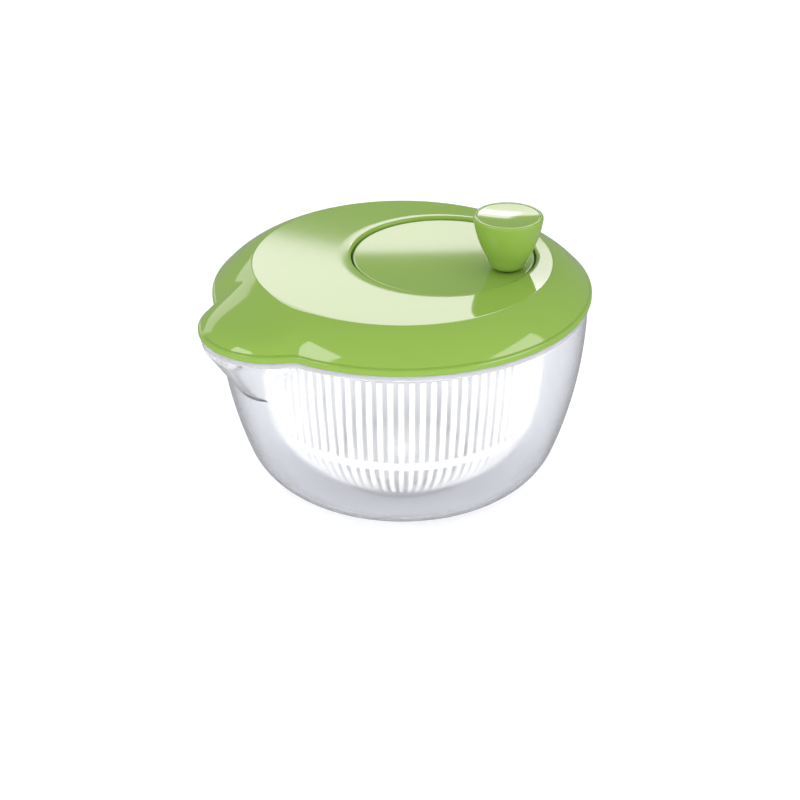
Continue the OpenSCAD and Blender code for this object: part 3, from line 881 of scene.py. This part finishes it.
def panel(name, azimuth, elevation, distance, width, height, radiance, roll=0, tint="FFFFFF",
          lights="mirror"):
    """A soft box that faces the lid, placed by its direction as seen from the lid and from the camera.
    lights says what it is for: "mirror" shows in glossy skins, "fill" lights the outside,
    and "bowl" lights what stands inside the clear bowl."""
    azimuth, elevation = math.radians(azimuth), math.radians(elevation)
    level = distance * math.cos(elevation)
    rise = distance * math.sin(elevation)
    lid = Vector((0, 0, LID_HEIGHT))
    place = Vector(in_view(level * math.sin(azimuth), level * math.cos(azimuth), LID_HEIGHT + rise))
    light = bpy.data.lights.new(name, "AREA")
    light.shape = "RECTANGLE"
    light.size = width
    light.size_y = height
    light.color = srgb(tint)[:3]
    light.energy = radiance * math.pi * width * height
    lamp = bpy.data.objects.new(name, light)
    bpy.context.collection.objects.link(lamp)
    lamp.location = place
    lamp.rotation_euler = (lid - place).to_track_quat("-Z", "Y").to_euler()
    lamp.rotation_euler.rotate_axis("Z", math.radians(roll))
    lamp.visible_glossy = lights == "mirror"
    lamp.visible_diffuse = lights == "fill"
    lamp.visible_transmission = lights == "bowl"
    lamp.visible_camera = False
    if lights == "bowl":
        light.use_nodes = True
        tree = light.node_tree
        path = add(tree, "ShaderNodeLightPath")
        inside = add(tree, "ShaderNodeMath", {"operation": "MINIMUM", 1: 1.0},
                     {0: (path, "Diffuse Depth")})
        tree.links.new(inside.outputs["Value"], tree.nodes["Emission"].inputs["Strength"])


def room():
    """A white room.  Its walls look dimmer where a glossy skin mirrors them or the bowl's edge bends
    them into sight, so that edges stand out against the white."""
    world = bpy.data.worlds.new("studio")
    bpy.context.scene.world = world
    world.use_nodes = True
    tree = world.node_tree
    sky = tree.nodes["Background"]
    path = add(tree, "ShaderNodeLightPath")
    mirrored = add(tree, "ShaderNodeMapRange", {"To Min": 1.0, "To Max": MIRRORED_WALLS},
                   {"Value": (path, "Is Glossy Ray")})
    direct = add(tree, "ShaderNodeMath", {"operation": "LESS_THAN", 1: 0.5},
                 {0: (path, "Diffuse Depth")})
    bent = add(tree, "ShaderNodeMath", {"operation": "MULTIPLY"},
               {0: (path, "Is Transmission Ray"), 1: (direct, "Value")})
    through = add(tree, "ShaderNodeMapRange", {"To Min": 1.0, "To Max": BENT_WALLS},
                  {"Value": (bent, "Value")})
    level = add(tree, "ShaderNodeMath", {"operation": "MULTIPLY"},
                {0: (mirrored, "Result"), 1: (through, "Result")})
    tree.links.new(level.outputs["Value"], sky.inputs["Strength"])
    sky.inputs["Color"].default_value = srgb("FFFFFF")


def studio():
    """Soft boxes round the table: azimuth, elevation, distance, width, height, radiance."""
    room()
    panel("back panel", 0, 37.5, 2.2, 1.1, 1.0, 4.0, roll=-12, tint=SOFT_ROSE)
    panel("back left panel", -35, 22, 2.0, 1.1, 0.5, 1.5, tint=SOFT_ROSE)
    panel("back right panel", 7.8, 26, 2.0, 0.18, 0.2, 4.0, roll=-12, tint=SOFT_ROSE)
    panel("left window", -112, 48, 2.0, 0.9, 0.5, 5.0, tint=SOFT_ROSE)
    panel("right window", 108, 36, 2.0, 1.5, 0.5, 4.0, tint=SOFT_ROSE)
    panel("front fill", 180, 3, 1.7, 1.8, 1.0, 2.1, lights="fill")
    panel("bowl light front", 180, 15, 1.2, 2.6, 1.4, 10.3, lights="bowl")
    panel("bowl light left", -80, 15, 1.2, 2.0, 1.4, 7.0, lights="bowl")
    panel("bowl light right", 80, 15, 1.2, 2.0, 1.4, 7.0, lights="bowl")
    panel("bowl light back", 0, 15, 1.2, 2.6, 1.4, 9.4, lights="bowl")
    bpy.context.scene.view_settings.view_transform = "Standard"


floor()
studio()
camera()
